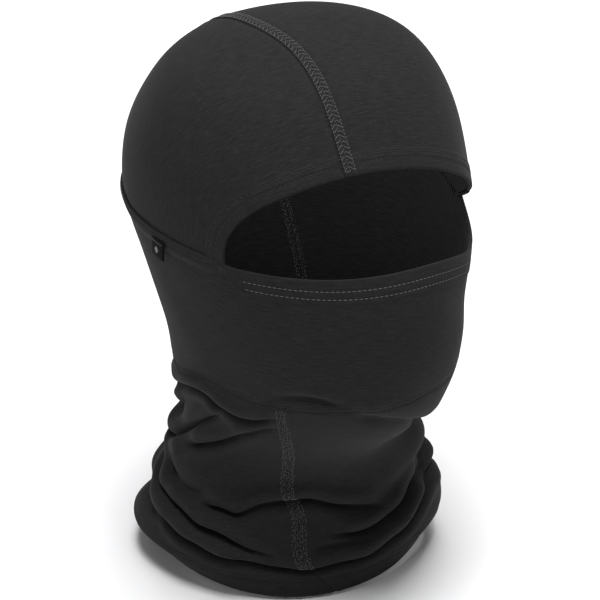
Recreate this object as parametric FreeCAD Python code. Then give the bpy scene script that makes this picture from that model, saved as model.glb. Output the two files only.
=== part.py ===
"""A winter balaclava: a two-panel hood, a face piece with a pull-down mask edge and a neck tube.

Millimetres, +Z up, the face looks along -Y and the wearer's left is +X. The origin is on the plane of
the neck hem, under the crown. Every cut panel, turned hem, seam and label is its own solid. Each is
a patch of one worn form, given a thickness between two offsets of that form.
"""
import FreeCAD, Part
import math
import os

Vector = FreeCAD.Vector

# The worn form: reach from the head's axis against height.
CROWN_HEIGHT = 282.0
CROWN_Y = 13.0
FRONT_PROFILE = [(-50, 0), (-53, 20), (-51, 42), (-51, 62), (-66, 84), (-86, 104), (-98, 124),
                 (-102, 146), (-100, 168), (-94, 188), (-85, 208), (-74, 228), (-60, 246),
                 (-43, 262), (-21, 274), (-4, 279.5)]
BACK_PROFILE = [(86, 0), (80, 20), (73, 42), (66, 64), (64, 84), (67, 104), (75, 124), (87, 146),
                (95, 168), (98, 188), (95.5, 208), (89, 228), (78.5, 246), (66.5, 261), (52, 271.7),
                (34.5, 279)]
SIDE_PROFILE = [(69, 0), (74, 20), (70, 42), (62, 64), (60, 84), (64, 104), (67, 124), (71, 146),
                (76, 168), (81, 188), (82, 208), (80, 228), (73.3, 246), (62, 262), (42, 274),
                (24, 279.8)]
WIDEST_PROFILE = [(14, 0), (6, 42), (0, 84), (-8, 124), (2, 168), (10, 208), (12.5, 246),
                  (13, 274)]
HEAD_CENTRE = Vector(0, 8, 188)

# Cloth and thread.
PLY = 1.2
THREAD = 0.5
LAYER_GAP = 0.2
MASK_GAP = 0.4
CUT_GAP = 0.1
SEAM_BAND = 5.0
THREAD_ROW = 0.8
ROW_PITCH = 3.5

# Seam between hood and face piece: level, with a dip on the wearer's left cheek. Turns in degrees.
RING_HEIGHT = 191.0
RING_DIP = 14.0
RING_DIP_TURN = 58.0
RING_DIP_SPREAD = 30.0

# Seam between face piece and neck tube: highest under the chin, lowest at the nape, and pulled up
# where the cloth bunches on the wearer's right.
JAW_HEIGHT = 112.0
JAW_RISE = 11.0
JAW_PULL = 6.0
JAW_PULL_TURN = -79.0
JAW_PULL_SPREAD = 13.0

# Upper edge of the eye opening, as (turn, height), from the right corner to the left.
EYE_ARCH = [(-57, 191), (-55.5, 201), (-50, 213), (-42, 222), (-29, 230), (-10, 235.5), (9, 234.5),
            (25, 228.5), (40, 218.5), (54, 206), (66, 193), (77, 182)]
CROWN_SEAM_ARCH_TURN = -7.5
CROWN_SEAM_NAPE_TURN = -176.0
CROWN_SEAM = [(-9, -53, 253), (-8, -38, 265), (-8, -21, 274), (-11, -2, 280), (-15, 14, 282),
              (-17, 34, 279), (-16, 62, 264), (-12, 85, 237)]
HOOD_LOW_TURNS = {"right": (-57.0, -120.0), "left": (77.0, 132.0)}
HOOD_NAPE_TURNS = {"right": -176.0, "left": 184.0}

# Hems, and how far their outer rows of thread lie from the edge.
EYE_HEM_WIDTH = 9.0
EYE_ROW_RISE = 8.0
MASK_HEM_WIDTH = 11.0
MASK_HEM_TURNS = (-50.0, 68.0)
MASK_ROW_DROP = 4.6
NECK_HEM_WIDTH = 16.0
NECK_HEM_FOLD = 1.0
NECK_ROW_RISE = 14.0

# Closing seams of the face piece (behind) and of the neck tube (down the throat, off centre).
FACE_SEAM_X = 32.0
NECK_SEAM_TURN_TOP = -38.0
NECK_SEAM_TURN_LOW = -14.0
BACK_SEAM_TURN = 160.0
BACK_SEAM_START = 3.0

# The jaw seam's rows start this many degrees past the neck seam, and lie this far from the joint.
JAW_SEAM_START = 2.0
JAW_ROW_OFFSET = 0.7
RING_STITCH_RISE = 1.2

# Label and corner tacks.
LABEL_WIDTH = 11.0
LABEL_DROP = 9.5
LABEL_PLY = 0.35
LABEL_FOLD = 0.3
LABEL_Y = -6.0
LABEL_TURN = -90.0
LABEL_TOP_DROP = 0.6
LABEL_THREAD = 0.4
LABEL_STITCH_INSET = 0.8
LABEL_STITCH_DROP = 1.8
TACK_LENGTH = 7.0
TACK_WIDTH = 2.2
TACK_TURNS = {"right": -58.2, "left": 78.2}
RING_STITCH_TURNS = (80.5, 299.0)

# How finely each patch is laid on the form.
HOOD_STEPS_ALONG = 30
HOOD_STEPS_ACROSS = 22
TUBE_COLUMNS = 56
FACE_ROWS = 14
NECK_ROWS = 20
HEM_ROWS = 3
ARCH_STEPS = 40
CORNER_SHARE = 0.03
CROWN_STEPS = 48
HALF_ROUND_STEPS = 32
CLOSING_STEPS = 12
TACK_STEPS = 4

# Steps of the profile tables, the distance that slopes are measured over, and the height below
# which an edge counts as lying in the plane of the neck hem.
TABLE_STEPS = 400
PROBE = 0.4
HEM_LEVEL = 0.01


def profile_table(points, crown_reach):
    """Reach of a profile against depth below the crown, finely spaced where the crown is flat."""
    track = [Vector(reach, 0, height) for reach, height in points]
    track.append(Vector(crown_reach, 0, CROWN_HEIGHT))
    curve = Part.BSplineCurve()
    curve.interpolate(Points=track)
    table = []
    for k in range(TABLE_STEPS + 1):
        height = CROWN_HEIGHT * (1 - (k / TABLE_STEPS) ** 2)
        low = curve.FirstParameter
        high = curve.LastParameter
        for _ in range(40):
            middle = (low + high) / 2
            if curve.value(middle).z < height:
                low = middle
            else:
                high = middle
        table.append(curve.value(low).x)
    return table


FRONT = profile_table(FRONT_PROFILE, CROWN_Y)
BACK = profile_table(BACK_PROFILE, CROWN_Y)
SIDE = profile_table(SIDE_PROFILE, 0.0)
WIDEST = profile_table(WIDEST_PROFILE, CROWN_Y)


def reach(table, height):
    """A profile's reach at a height."""
    depth = min(max(1 - height / CROWN_HEIGHT, 0.0), 1.0)
    place = math.sqrt(depth) * TABLE_STEPS
    k = min(int(place), TABLE_STEPS - 1)
    return table[k] + (table[k + 1] - table[k]) * (place - k)


def on_form(turn, height):
    """The point of the form at a turn (degrees, 0 at the face, growing to the left) and a height."""
    angle = math.radians(turn)
    middle = reach(WIDEST, height)
    far = reach(FRONT if math.cos(angle) > 0 else BACK, height)
    x = reach(SIDE, height) * math.sin(angle)
    return Vector(x, middle + (far - middle) * abs(math.cos(angle)), height)


def outside(point):
    """How far out a point lies: below 1 inside the form, 1 on it, above 1 outside."""
    if point.z >= CROWN_HEIGHT:
        return 10.0
    middle = reach(WIDEST, point.z)
    far = reach(FRONT if point.y < middle else BACK, point.z) - middle
    return math.hypot(point.x / max(reach(SIDE, point.z), 0.01), (point.y - middle) / far)


def cast(point):
    """The form's point in the direction of a point, seen from the centre of the head."""
    ray = (point - HEAD_CENTRE).normalize()
    low = 20.0
    high = 170.0
    for _ in range(36):
        middle = (low + high) / 2
        if outside(HEAD_CENTRE + ray * middle) < 1:
            low = middle
        else:
            high = middle
    return HEAD_CENTRE + ray * low


def normal_at(point):
    """The form's outward direction at one of its points."""
    step = PROBE
    if point.z > CROWN_HEIGHT - 2 * step:
        return Vector(0, 0, 1)
    slopes = []
    for axis in (Vector(step, 0, 0), Vector(0, step, 0), Vector(0, 0, step)):
        slopes.append(outside(point + axis) - outside(point - axis))
    if point.z < step:
        slopes[2] = 0.0
    return Vector(*slopes).normalize()


def settle(point):
    """A point beside the form, moved square onto it."""
    for _ in range(4):
        normal = normal_at(point)
        slope = (outside(point + normal * PROBE) - outside(point - normal * PROBE)) / (2 * PROBE)
        point = point - normal * ((outside(point) - 1) / slope)
    return point


def side_face(edge, edge_below):
    """The face between one edge of two offsets, a flat one where both edges lie in the hem's plane."""
    ruled = Part.makeRuledSurface(edge, edge_below)
    highest = max(vertex.Z for vertex in ruled.Vertexes)
    if highest > HEM_LEVEL:
        return ruled
    return Part.Face(Part.Wire(Part.__sortEdges__(ruled.Edges)))


def thick(grid, outer, inner):
    """A closed solid over a grid of form points, from one offset of the form to another."""
    faces = []
    for offset in (outer, inner):
        rows = [[point + normal_at(point) * offset for point in row] for row in grid]
        surface = Part.BSplineSurface()
        surface.interpolate(rows)
        faces.append(surface.toShape())
    for edge, edge_below in zip(faces[0].Edges, faces[1].Edges):
        faces.append(side_face(edge, edge_below))
    shell = Part.Shell(faces)
    shell.sewShape()
    solid = Part.Solid(shell)
    if solid.Volume < 0:
        solid.reverse()
    return solid


def steps(count):
    """Even steps from 0 to 1."""
    return [k / count for k in range(count + 1)]


def mix(first, last, share):
    """A value part of the way from one to another."""
    return first + (last - first) * share


def near(turn, middle, spread):
    """A smooth bump of height 1 round the head, at its top at one turn."""
    away = ((turn - middle + 180) % 360 - 180) / spread
    return math.exp(-away * away)


def ring_height(turn):
    """Height of the hood-to-face seam at a turn."""
    return RING_HEIGHT - RING_DIP * near(turn, RING_DIP_TURN, RING_DIP_SPREAD)


def jaw_height(turn):
    """Height of the face-to-neck seam at a turn."""
    pulled = JAW_PULL * near(turn, JAW_PULL_TURN, JAW_PULL_SPREAD)
    return JAW_HEIGHT + JAW_RISE * math.cos(math.radians(turn)) + pulled


def neck_seam_turn(height):
    """Where the neck tube's closing seam lies at a height."""
    share = min(max(height / jaw_height(0), 0.0), 1.0)
    return mix(NECK_SEAM_TURN_LOW, NECK_SEAM_TURN_TOP, share)


def face_seam_turn(height):
    """Where the face piece's closing seam lies at a height, going round by the wearer's left."""
    return 180 - math.degrees(math.asin(FACE_SEAM_X / reach(SIDE, height)))


def arch_curve():
    """The eye opening's upper edge as a curve of (turn, 0, height)."""
    curve = Part.BSplineCurve()
    curve.interpolate(Points=[Vector(turn, 0, height) for turn, height in EYE_ARCH])
    return curve


ARCH = arch_curve()


def arch_parameter(turn):
    """The arch curve's parameter at a turn."""
    low = ARCH.FirstParameter
    high = ARCH.LastParameter
    for _ in range(40):
        middle = (low + high) / 2
        if ARCH.value(middle).x < turn:
            low = middle
        else:
            high = middle
    return low


def arch_path(first, last, count):
    """Form points along the arch between two parameters."""
    places = [ARCH.value(mix(first, last, share)) for share in steps(count)]
    return [on_form(place.x, place.z) for place in places]


def seam_path(count, shift):
    """The crown seam's path on the form, moved sideways by a small shift."""
    front = ARCH.value(arch_parameter(CROWN_SEAM_ARCH_TURN))
    nape_turn = CROWN_SEAM_NAPE_TURN
    points = [on_form(front.x, front.z)] + [cast(Vector(*place)) for place in CROWN_SEAM]
    points.append(on_form(nape_turn, ring_height(nape_turn) + CUT_GAP))
    curve = Part.BSplineCurve()
    curve.interpolate(Points=points)
    places = [curve.value(mix(curve.FirstParameter, curve.LastParameter, s)) for s in steps(count)]
    return [cast(place + Vector(shift, 0, 0)) for place in places]


def hood_panel(side):
    """One half of the hood: seam above, eye arch in front, ring seam below and behind."""
    along = HOOD_STEPS_ALONG
    across = HOOD_STEPS_ACROSS
    sign = -1 if side == "right" else 1
    corner_turn, low_turn = HOOD_LOW_TURNS[side]
    nape_turn = HOOD_NAPE_TURNS[side]
    top = seam_path(along, sign * CUT_GAP)
    corner = ARCH.FirstParameter if side == "right" else ARCH.LastParameter
    front = arch_path(arch_parameter(CROWN_SEAM_ARCH_TURN + sign * CUT_GAP), corner, across)
    lows = [mix(corner_turn, low_turn, share) for share in steps(along)]
    low = [on_form(turn, ring_height(turn) + CUT_GAP) for turn in lows]
    low[0] = front[-1]
    backs = [mix(nape_turn, low_turn, share) for share in steps(across)]
    back = [on_form(turn, ring_height(turn) + CUT_GAP) for turn in backs]
    top[0] = front[0]
    top[-1] = back[0]
    grid = []
    for i, u in enumerate(steps(along)):
        row = []
        for j, v in enumerate(steps(across)):
            ruled = top[i] * (1 - v) + low[i] * v + front[j] * (1 - u) + back[j] * u
            corners = (top[0] * (1 - v) + low[0] * v) * (1 - u)
            corners = corners + (top[-1] * (1 - v) + low[-1] * v) * u
            row.append(cast(ruled - corners))
        grid.append(row)
    return thick(grid, 0.0, -PLY)


def tube_grid(first_turn, low_height, high_height, rows, columns):
    """A cut tube: from a seam all the way round to the same seam, between two heights."""
    grid = []
    for share in steps(columns):
        column = []
        for rise in steps(rows):
            turn = mix(first_turn(0), first_turn(0) + 360, share)
            for _ in range(3):
                height = mix(low_height(turn), high_height(turn), rise)
                slit = math.degrees(CUT_GAP / reach(SIDE, height))
                turn = mix(first_turn(height) + slit, first_turn(height) + 360 - slit, share)
            column.append(on_form(turn, height))
        grid.append(column)
    return grid


def strip(path, low, high):
    """A strip of the form beside a path, between two distances to the path's left."""
    grid = []
    for k, point in enumerate(path):
        along = path[min(k + 1, len(path) - 1)] - path[max(k - 1, 0)]
        across = normal_at(point).cross(along).normalize()
        row = [settle(point + across * mix(low, high, share)) for share in steps(2)]
        grid.append(row)
    return grid


def inner_ply(grid):
    """A turned-in layer of cloth behind the outer one."""
    return thick(grid, -PLY - LAYER_GAP, -2 * PLY - LAYER_GAP)


def thread_outside(grid, gap=LAYER_GAP):
    """Thread lying on the outside of the cloth."""
    return thick(grid, gap + THREAD, gap)


def thread_inside(grid):
    """Thread lying on the inside of the cloth."""
    return thick(grid, -PLY - LAYER_GAP, -PLY - LAYER_GAP - THREAD)


def thread_row(path, middle, gap=LAYER_GAP):
    """A narrow row of thread along a path, a distance to its left."""
    return thread_outside(strip(path, middle - THREAD_ROW / 2, middle + THREAD_ROW / 2), gap)


def height_path(height, first, last, count):
    """A path round the form whose height follows its turn."""
    turns = [mix(first, last, share) for share in steps(count)]
    return [on_form(turn, height(turn)) for turn in turns]


def hood():
    """The hood's two panels."""
    return {"hood_panel_right": hood_panel("right"), "hood_panel_left": hood_panel("left")}


def face_panel():
    """The face piece: mask, cheeks and nape in one length of cloth."""
    grid = tube_grid(face_seam_turn, lambda turn: jaw_height(turn) + CUT_GAP,
                     lambda turn: ring_height(turn) - CUT_GAP, FACE_ROWS, TUBE_COLUMNS)
    return {"face_panel": thick(grid, 0.0, -PLY)}


def neck_panel():
    """The neck tube, from the hem to the jaw seam."""
    grid = tube_grid(neck_seam_turn, lambda turn: 0.0, lambda turn: jaw_height(turn) - CUT_GAP,
                     NECK_ROWS, TUBE_COLUMNS)
    return {"neck_panel": thick(grid, 0.0, -PLY)}


def eye_hem():
    """The hood's edge turned in round the eye opening, with two rows of thread outside."""
    path = arch_path(mix(ARCH.FirstParameter, ARCH.LastParameter, CORNER_SHARE),
                     mix(ARCH.FirstParameter, ARCH.LastParameter, 1 - CORNER_SHARE), ARCH_STEPS)
    rows = [thread_row(path, EYE_ROW_RISE - k * ROW_PITCH) for k in (0, 1)]
    return {"eye_hem": inner_ply(strip(path, 0.0, EYE_HEM_WIDTH)),
            "eye_hem_stitching": Part.Compound(rows)}


def mask_hem():
    """The mask's top edge, turned in from eye corner to eye corner, with two rows outside."""
    path = height_path(ring_height, MASK_HEM_TURNS[0], MASK_HEM_TURNS[1], HALF_ROUND_STEPS)
    turned = strip(path, -MASK_HEM_WIDTH, -MASK_GAP)
    rows = [thread_row(path, -MASK_ROW_DROP - k * ROW_PITCH, MASK_GAP) for k in (0, 1)]
    return {"mask_hem": thick(turned, -PLY - MASK_GAP, -2 * PLY - MASK_GAP),
            "mask_hem_stitching": Part.Compound(rows)}


def neck_hem():
    """The neck tube's lower edge, turned up inside, with two rows of thread outside."""
    turned = tube_grid(neck_seam_turn, lambda turn: NECK_HEM_FOLD, lambda turn: NECK_HEM_WIDTH,
                       HEM_ROWS, TUBE_COLUMNS)
    rows = []
    for k in (0, 1):
        low = NECK_ROW_RISE - k * ROW_PITCH
        grid = tube_grid(neck_seam_turn, lambda turn: low, lambda turn: low + THREAD_ROW, 1,
                         TUBE_COLUMNS)
        rows.append(thread_outside(grid))
    return {"neck_hem": inner_ply(turned), "neck_hem_stitching": Part.Compound(rows)}


def crown_seam():
    """The flat seam over the crown: a band of thread outside, its overlap inside."""
    path = seam_path(CROWN_STEPS, 0.0)[2:-1]
    half = SEAM_BAND / 2
    return {"crown_seam_outside": thread_outside(strip(path, -half, half)),
            "crown_seam_inside": thread_inside(strip(path, -half, half))}


def ring_seam():
    """The seam that joins hood and face piece, behind the eye corners."""
    path = height_path(ring_height, RING_STITCH_TURNS[0], RING_STITCH_TURNS[1], HALF_ROUND_STEPS)
    return {"ring_seam_outside": thread_row(path, RING_STITCH_RISE),
            "ring_seam_inside": thread_inside(strip(path, -SEAM_BAND, 0.0))}


def jaw_seam():
    """The seam between face piece and neck tube: two fine rows outside, overlock inside."""
    start = NECK_SEAM_TURN_TOP + JAW_SEAM_START
    path = height_path(jaw_height, start, start + 360 - 2 * JAW_SEAM_START, TUBE_COLUMNS)
    rows = [thread_row(path, middle) for middle in (-JAW_ROW_OFFSET, JAW_ROW_OFFSET)]
    return {"jaw_seam_outside": Part.Compound(rows),
            "jaw_seam_inside": thread_inside(strip(path, -SEAM_BAND, 0.0))}


def closing_seams():
    """The seam behind the face piece and the one down the neck tube, each outside and inside."""
    back = []
    front = []
    for share in steps(CLOSING_STEPS):
        low = jaw_height(BACK_SEAM_TURN) + BACK_SEAM_START
        high = ring_height(BACK_SEAM_TURN) - SEAM_BAND - 1
        height = mix(low, high, share)
        back.append(on_form(face_seam_turn(height), height))
        high = jaw_height(NECK_SEAM_TURN_TOP) - SEAM_BAND - 1
        height = mix(NECK_HEM_WIDTH + 1, high, share)
        front.append(on_form(neck_seam_turn(height), height))
    half = SEAM_BAND / 2
    nodes = {}
    for name, path in (("face_back_seam", back), ("neck_front_seam", front)):
        nodes[name + "_outside"] = thread_outside(strip(path, -half, half))
        nodes[name + "_inside"] = thread_inside(strip(path, -half, half))
    return nodes


def label():
    """A folded woven label on the wearer's right cheek, its top edge sewn into the ring seam."""
    top = ring_height(LABEL_TURN) - LABEL_TOP_DROP
    depth = 2 * LABEL_PLY + LABEL_FOLD
    start = Vector(-reach(SIDE, top) - THREAD - MASK_GAP - depth, LABEL_Y - LABEL_WIDTH / 2, top)
    start = start - Vector(0, 0, LABEL_DROP)
    fold = Part.makeBox(depth, LABEL_WIDTH, LABEL_DROP, start)
    slit_start = start + Vector(LABEL_PLY, -1, LABEL_PLY)
    slit = Part.makeBox(LABEL_FOLD, LABEL_WIDTH + 2, LABEL_DROP, slit_start)
    stitch_start = start + Vector(-LABEL_THREAD, LABEL_STITCH_INSET, LABEL_DROP - LABEL_STITCH_DROP)
    stitch = Part.makeBox(LABEL_THREAD, LABEL_WIDTH - 2 * LABEL_STITCH_INSET, THREAD_ROW, stitch_start)
    return {"label": fold.cut(slit), "label_stitching": stitch}


def corner_tacks():
    """A short bar of thread across the seam at each eye corner."""
    nodes = {}
    for side, turn in TACK_TURNS.items():
        middle = ring_height(turn)
        path = [on_form(turn, middle + mix(-0.5, 0.5, share) * TACK_LENGTH) for share in steps(TACK_STEPS)]
        nodes["corner_tack_" + side] = thread_outside(strip(path, -TACK_WIDTH / 2, TACK_WIDTH / 2))
    return nodes


def build():
    """Every node of the balaclava, by name."""
    nodes = {}
    for maker in (hood, face_panel, neck_panel, eye_hem, mask_hem, neck_hem, crown_seam,
                  ring_seam, jaw_seam, closing_seams, label, corner_tacks):
        nodes.update(maker())
    return nodes


os.makedirs("parts", exist_ok=True)
for name, shape in build().items():
    shape.exportStep("parts/" + name + ".step")
    print(name, len(shape.Solids), "solids", round(shape.Volume, 1), "mm3, valid", shape.isValid())
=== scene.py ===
"""A winter balaclava as it is worn: knitted panels with folds at the neck, turned hems, and stitches.

The cloth is laid over the same worn form as the CAD parts. All lengths below are millimetres, and
meshes are scaled to metres as they are made. A "turn" is an angle round the head in degrees, 0 at the
face and growing towards the wearer's left.
"""
import math
import bpy
import numpy as np
from mathutils import Matrix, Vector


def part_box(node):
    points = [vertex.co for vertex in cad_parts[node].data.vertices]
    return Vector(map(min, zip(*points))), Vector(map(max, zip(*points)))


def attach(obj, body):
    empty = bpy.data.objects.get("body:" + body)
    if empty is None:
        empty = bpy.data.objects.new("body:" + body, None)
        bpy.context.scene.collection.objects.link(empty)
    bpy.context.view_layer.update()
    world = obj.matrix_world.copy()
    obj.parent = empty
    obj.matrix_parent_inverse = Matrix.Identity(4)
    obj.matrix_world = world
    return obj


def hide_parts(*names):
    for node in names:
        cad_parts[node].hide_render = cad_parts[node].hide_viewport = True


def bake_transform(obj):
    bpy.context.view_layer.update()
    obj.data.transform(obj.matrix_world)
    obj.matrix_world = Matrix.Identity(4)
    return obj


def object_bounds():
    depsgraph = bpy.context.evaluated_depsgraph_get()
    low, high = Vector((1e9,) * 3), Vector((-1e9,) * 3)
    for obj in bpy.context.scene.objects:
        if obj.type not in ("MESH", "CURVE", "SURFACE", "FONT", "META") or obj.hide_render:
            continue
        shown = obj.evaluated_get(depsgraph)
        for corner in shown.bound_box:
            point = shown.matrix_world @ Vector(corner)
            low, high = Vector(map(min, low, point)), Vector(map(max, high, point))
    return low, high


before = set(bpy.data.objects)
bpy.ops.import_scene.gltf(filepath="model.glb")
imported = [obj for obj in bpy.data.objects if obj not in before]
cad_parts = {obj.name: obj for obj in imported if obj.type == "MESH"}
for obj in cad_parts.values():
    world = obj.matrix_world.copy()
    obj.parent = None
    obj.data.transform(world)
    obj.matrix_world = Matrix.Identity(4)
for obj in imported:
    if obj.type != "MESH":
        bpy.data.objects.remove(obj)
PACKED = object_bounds()

# The worn form, as (reach from the axis, height).
FRONT_PROFILE = [(-50, 0), (-53, 20), (-51, 42), (-51, 62), (-66, 84), (-86, 104), (-98, 124),
                 (-102, 146), (-100, 168), (-94, 188), (-85, 208), (-74, 228), (-60, 246),
                 (-43, 262), (-21, 274), (-4, 279.5)]
BACK_PROFILE = [(86, 0), (80, 20), (73, 42), (66, 64), (64, 84), (67, 104), (75, 124), (87, 146),
                (95, 168), (98, 188), (95.5, 208), (89, 228), (78.5, 246), (66.5, 261), (52, 271.7),
                (34.5, 279)]
SIDE_PROFILE = [(69, 0), (74, 20), (70, 42), (62, 64), (60, 84), (64, 104), (67, 124), (71, 146),
                (76, 168), (81, 188), (82, 208), (80, 228), (73.3, 246), (62, 262), (42, 274),
                (24, 279.8)]
WIDEST_PROFILE = [(14, 0), (6, 42), (0, 84), (-8, 124), (2, 168), (10, 208), (12.5, 246), (13, 274)]
CROWN_Y = 13.0
HALF_WIDTH = 82.05
HEAD_CENTRE = np.array([0.0, 8.0, 188.0])

# The crown's height and the hood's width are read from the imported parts.
RIGHT_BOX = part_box("hood_panel_right")
LEFT_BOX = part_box("hood_panel_left")
CROWN_HEIGHT = max(RIGHT_BOX[1].z, LEFT_BOX[1].z) * 1000
WIDTH_SCALE = (LEFT_BOX[1].x - RIGHT_BOX[0].x) * 1000 / (2 * HALF_WIDTH)

# Cloth, hems and seams.
PLY = 0.9
FOLD_RADIUS = 1.0
MASK_FOLD_RADIUS = 0.8
HEM_DEPTH = 2 * FOLD_RADIUS - PLY + 0.06
MASK_HEM_DEPTH = 2 * MASK_FOLD_RADIUS - PLY + 0.15
FACE_GIRTH = 500
NECK_GIRTH = 440
EYE_ARCH = [(-57, 191), (-55.5, 201), (-50, 213), (-42, 222), (-29, 230), (-10, 235.5), (9, 234.5),
            (25, 228.5), (40, 218.5), (54, 206), (66, 193), (77, 182)]
CROWN_SEAM_ARCH_TURN = -7.5
CROWN_SEAM = [(-9, -53, 253), (-8, -38, 265), (-8, -21, 274), (-11, -2, 280), (-15, 14, 282),
              (-17, 34, 279), (-16, 62, 264), (-12, 85, 237)]
HOOD_TURNS = {"right": (-57.0, -120.0, -176.0), "left": (77.0, 132.0, 184.0)}
EYE_HEM = 9.0
EYE_ROWS = (4.5, 8.0)
MASK_HEM = 11.0
MASK_ROWS = (4.9, 8.7)
MASK_TURNS = (-52.0, 71.0)
NECK_HEM = 16.0
NECK_ROWS = (10.4, 13.9)
FACE_SEAM_X = 32.0
NECK_SEAM = [(0, -7), (3, -9), (13, -16), (23, -21), (35, -22), (48, -24), (58, -29), (69, -32),
             (88, -38), (110, -45), (123, -48)]
OVERLAP = 2.0

# The line between hood and face piece, with a dip over the left cheek: depth, turn and spread.
RING_HEIGHT = 191
RING_DIP = (14, 58, 30)

# The line between face piece and neck tube: height, rise under the chin, and a pull: height, turn, spread.
JAW_HEIGHT = 112
JAW_RISE = 11
JAW_PULL = (6, -79, 13)

# Folds of the neck tube, each as points of (turn, height), how deep it is, and how wide.
FOLDS = [
    ("hem ring", [(-215, 36), (-180, 37), (-150, 34), (-125, 27.5), (-108, 28), (-90, 32), (-79, 29),
                  (-67, 26), (-59, 23.5), (-41, 22), (-31, 19), (-20, 16), (-12, 17), (-5, 18), (6, 19),
                  (15, 22), (24, 25), (32, 30), (41, 35), (60, 37), (100, 31), (130, 33), (150, 36)],
     5.0, 1.15),
    ("second ring", [(-200, 54), (-170, 54), (-150, 52), (-125, 48), (-112, 44), (-101, 42), (-84, 41),
                     (-67, 37), (-54, 34), (-43, 29), (-36, 27), (-26, 22)], 4.6, 1.1),
    ("throat", [(-12, 34), (2, 32), (11, 33), (18, 35), (27, 38), (39, 42), (62, 41.5), (90, 43),
                (124, 44)], 3.8, 1.1),
    ("right side", [(-96, 68), (-77, 77), (-68, 84), (-60, 93), (-52, 101), (-44, 106)], 3.4, 1.1),
    ("right nape", [(-200, 64), (-160, 62), (-135, 59), (-120, 60), (-110, 66), (-91, 82), (-79, 93),
                    (-68, 105)], 3.6, 1.1),
    ("pocket", [(-172, 77), (-140, 74), (-126, 73), (-112, 81), (-96, 96)], 2.6, 1.1),
    ("under the jaw seam", [(-190, 92), (-160, 90), (-128, 91), (-102, 100), (-79, 110), (-70, 107),
                            (-63, 105), (-56, 107), (-45, 113)], 3.6, 1.0),
    ("middle", [(-72, 45), (-56, 46), (-50, 45), (-43, 49), (-35, 52), (-27, 53), (-19, 53), (-9, 49),
                (3, 45), (18, 40)], 3.2, 1.2),
    ("right middle", [(-112, 55), (-104, 53), (-94, 51), (-64, 51)], 1.8, 1.7),
    ("under the chin", [(-22, 122), (-1, 111), (26, 94), (45, 80), (62, 69), (90, 63), (120, 61),
                        (152, 64)], 2.2, 2.3),
    ("left nape", [(70, 92), (100, 85), (142, 84), (175, 86)], 2.0, 1.4),
    ("chin", [(-56, 120), (-47, 126), (-38, 129), (-29, 128), (-18, 125)], 1.3, 1.5),
    ("small right", [(-46, 38), (-37, 35), (-28, 31)], 1.2, 0.8),
    ("small front", [(-20, 27), (-8, 28), (10, 28)], 1.0, 0.8)]

# A crease's section, as bumps of cloth: strength, place above the line in widths, the same in
# millimetres, and spread in widths. CREASE_HANG is the cloth that hangs down over it.
CREASE = [(0.72, 4.0, 0, 3.4), (0.30, -4.6, 0, 3.2), (-1.00, 0, -0.4, 1.35), (-0.35, 0, -0.6, 3.0)]
CREASE_HANG = (0.42, 1.9, 0, 2.1)
CREASE_FADE = 13

# Where the cloth stands further out (+) or in (-) than the form, as turn, height, amount, and spreads.
BULGES = [(50, 74, -7.5, 30, 9), (66, 45, -12.0, 34, 7), (60, 20, 2.0, 36, 9), (-125, 49, -5.0, 30, 7),
          (-125, 76, -5.0, 30, 8), (-125, 28, -9.0, 28, 6), (-122, 14, 5.0, 32, 7),
          (-94, 0, -4.2, 46, 8), (52, 0, -3.4, 40, 10), (-15, 0, 2.2, 40, 16), (20, 70, -1.0, 30, 16)]
CROWN_BULGE = (88, 250, 2.6, 42, 24)
HEM_LIFTS = [(-100, 4.6, 46), (52, 3.0, 34)]
HEM_LIFT_TOP = 24

# Small relief of the sewing, and the turns over which the mask's free edge becomes the joined one.
SEAM_GROOVE = 0.22
HEM_STEP = 0.55
ROW_GROOVE = 0.35
ROW_WIDTH = 0.75
JOINED_EDGE = 1.25
CHEEK_DENT = 1.5
LEFT_CORNER = (72, 84)
RIGHT_CORNER = (-66, -56)


def natural_spline(knots, values, places):
    """A smooth curve through values at knots, read at places."""
    knots = np.asarray(knots, float)
    values = np.asarray(values, float)
    gaps = np.diff(knots)
    count = len(knots)
    system = np.eye(count)
    right = np.zeros(count)
    for k in range(1, count - 1):
        system[k, k - 1:k + 2] = gaps[k - 1], 2 * (gaps[k - 1] + gaps[k]), gaps[k]
        right[k] = 6 * ((values[k + 1] - values[k]) / gaps[k] - (values[k] - values[k - 1]) / gaps[k - 1])
    bend = np.linalg.solve(system, right)
    k = np.clip(np.searchsorted(knots, places, side="right") - 1, 0, count - 2)
    a = (knots[k + 1] - places) / gaps[k]
    b = 1 - a
    curve = a * values[k] + b * values[k + 1]
    return curve + ((a ** 3 - a) * bend[k] + (b ** 3 - b) * bend[k + 1]) * gaps[k] ** 2 / 6


def through(points, count):
    """Evenly spaced places on a smooth curve through points of any dimension."""
    points = np.asarray(points, float)
    chord = np.concatenate([[0], np.cumsum(np.linalg.norm(np.diff(points, axis=0), axis=1))])
    places = np.linspace(0, chord[-1], count)
    return np.stack([natural_spline(chord, points[:, k], places) for k in range(points.shape[1])], 1)


TABLE = np.linspace(0, 1, 1601)


def profile_table(points, crown_reach, scale=1.0):
    """Reach against the square root of the depth below the crown."""
    dense = through([*points, (crown_reach, CROWN_HEIGHT)], 4000)
    heights = np.maximum.accumulate(dense[:, 1])
    return np.interp(CROWN_HEIGHT * (1 - TABLE ** 2), heights, dense[:, 0]) * scale


FRONT = profile_table(FRONT_PROFILE, CROWN_Y)
BACK = profile_table(BACK_PROFILE, CROWN_Y)
SIDE = profile_table(SIDE_PROFILE, 0.0, WIDTH_SCALE)
WIDEST = profile_table(WIDEST_PROFILE, CROWN_Y)


def reach(table, height):
    """A profile's reach at some heights."""
    return np.interp(np.sqrt(np.clip(1 - height / CROWN_HEIGHT, 0, 1)), TABLE, table)


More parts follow.
